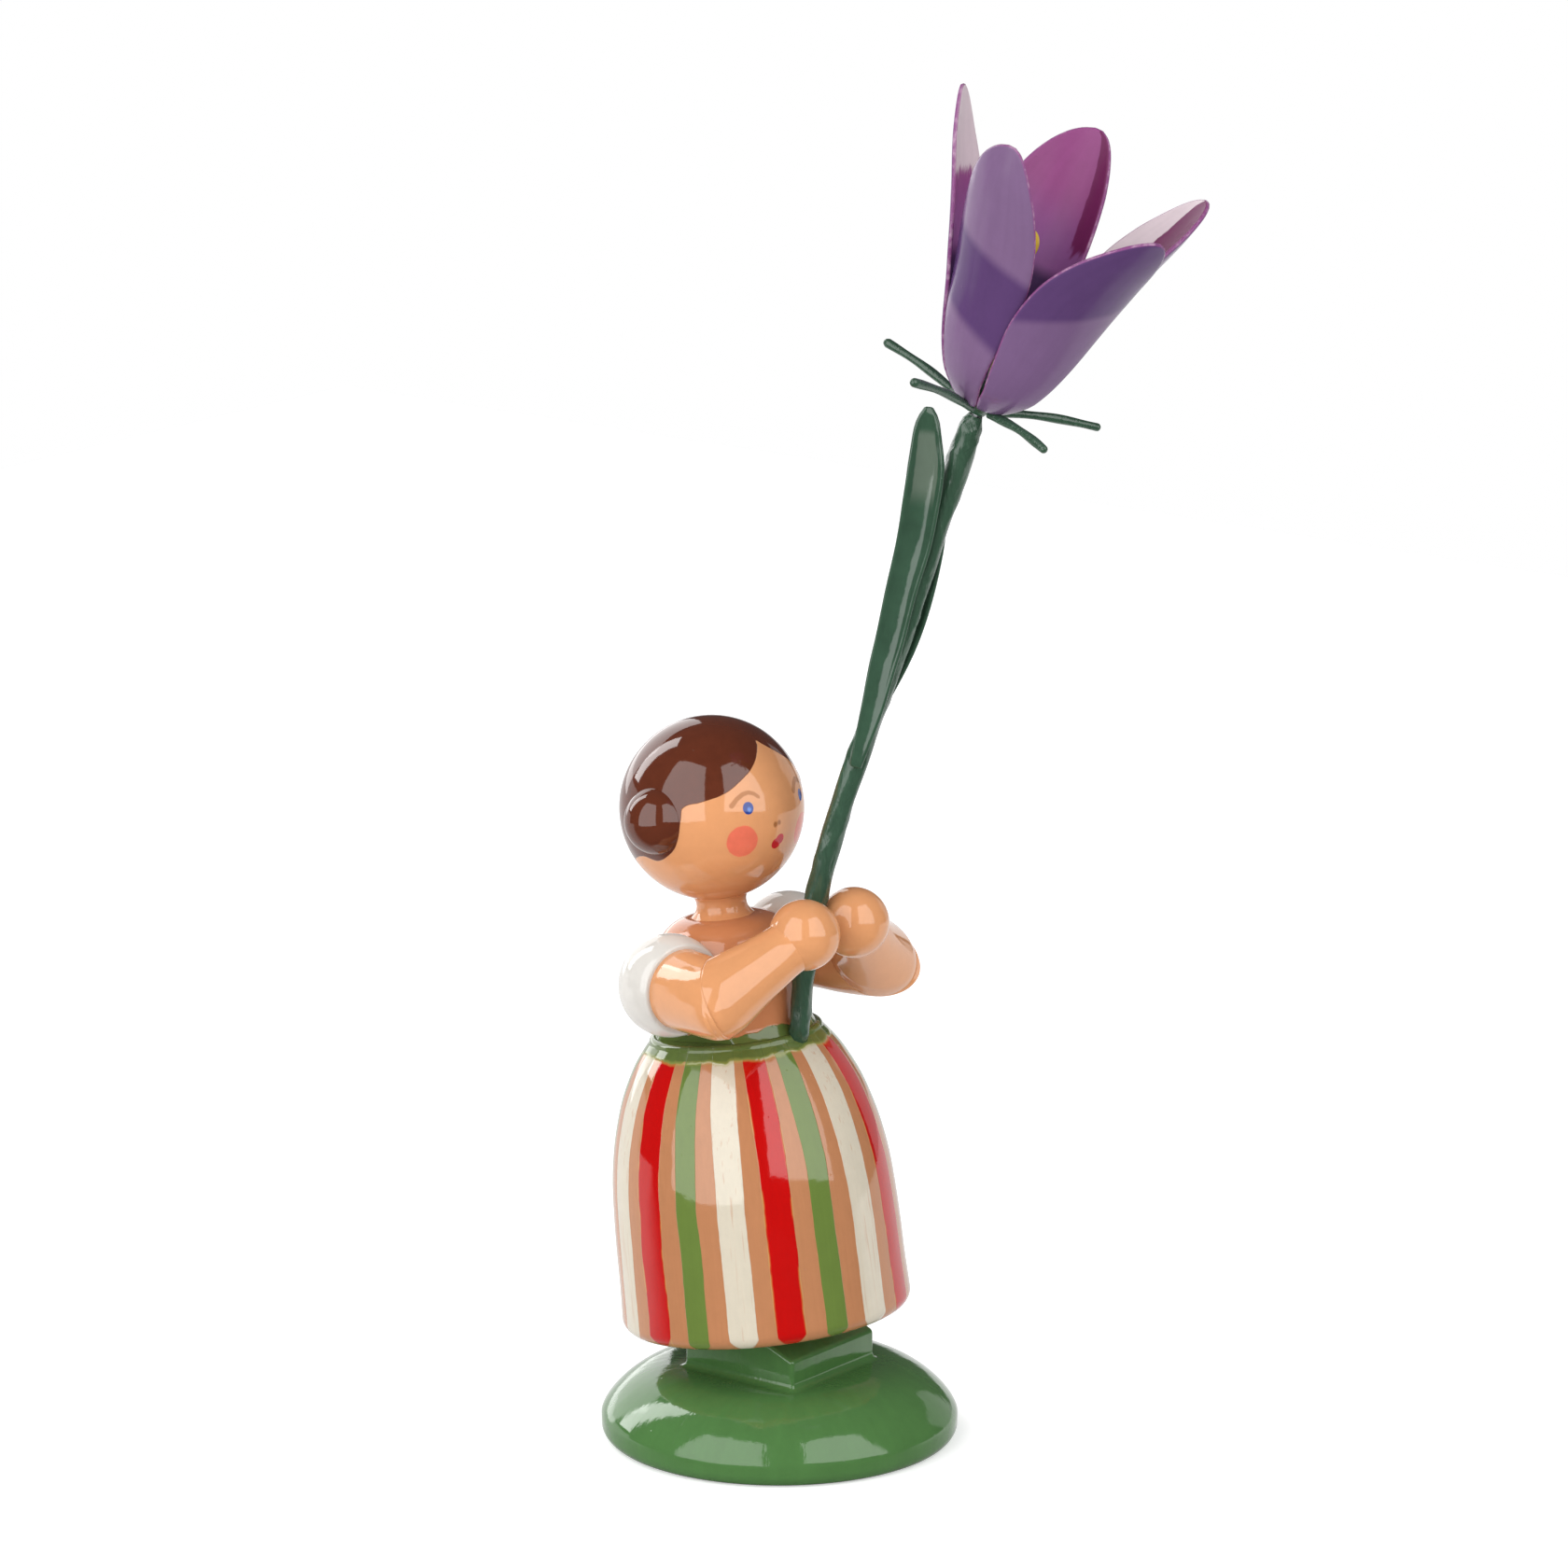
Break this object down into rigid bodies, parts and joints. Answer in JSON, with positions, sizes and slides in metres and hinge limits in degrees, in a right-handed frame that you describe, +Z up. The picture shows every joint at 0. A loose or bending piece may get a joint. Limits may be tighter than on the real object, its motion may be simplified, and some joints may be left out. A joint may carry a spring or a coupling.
{
  "type": "wooden figurine",
  "caption": "Small turned and lacquered wooden figurine of a girl on a domed base who holds up one tall flower on a bent stem.",
  "frame": {"origin": "centre of the base's underside", "axes": "+Z up, the girl faces -Y, her right hand is on the -X side"},
  "size_m": [0.0351, 0.0475, 0.1152],
  "materials": {
    "base_lacquer": "gloss green lacquer on turned wood",
    "dowel_wood": "bare beech",
    "skirt_lacquer": "gloss lacquer over painted stripes",
    "bodice_lacquer": "gloss tan lacquer",
    "skin_lacquer": "gloss skin-coloured lacquer",
    "hair_lacquer": "gloss dark brown lacquer",
    "sleeve_lacquer": "gloss white lacquer",
    "stem_wrap_paper": "green lacquer over wound paper",
    "stem_wire_steel": "drawn wire",
    "leaf_sheet": "gloss green lacquer on pressed sheet",
    "bract_wood": "gloss green lacquer",
    "petal_wood": "gloss purple lacquer on thin shaped wood",
    "pistil_lacquer": "gloss yellow lacquer"
  },
  "bodies": {
    "root": {"base_disc": "base_lacquer", "bodice": "bodice_lacquer", "bract_1": "bract_wood", "bract_2": "bract_wood", "bract_3": "bract_wood", "bract_4": "bract_wood", "bract_5": "bract_wood", "figure_dowel": "dowel_wood", "foot_block": "base_lacquer", "forearm_left": "skin_lacquer", "forearm_right": "skin_lacquer", "hair_bun_left": "hair_lacquer", "hair_bun_right": "hair_lacquer", "hand_left": "skin_lacquer", "hand_right": "skin_lacquer", "head": "skin_lacquer", "leaf_back": "leaf_sheet", "leaf_front": "leaf_sheet", "neck": "skin_lacquer", "petal_1": "petal_wood", "petal_2": "petal_wood", "petal_3": "petal_wood", "petal_4": "petal_wood", "petal_5": "petal_wood", "pistil_rod": "pistil_lacquer", "pistil_tip": "pistil_lacquer", "receptacle": "bract_wood", "shoulder_pin_left": "dowel_wood", "shoulder_pin_right": "dowel_wood", "skirt": "skirt_lacquer", "sleeve_left": "sleeve_lacquer", "sleeve_right": "sleeve_lacquer", "stem_wire": "stem_wire_steel", "stem_wrap": "stem_wrap_paper", "upper_arm_left": "skin_lacquer", "upper_arm_right": "skin_lacquer"}
  },
  "joints": []
}
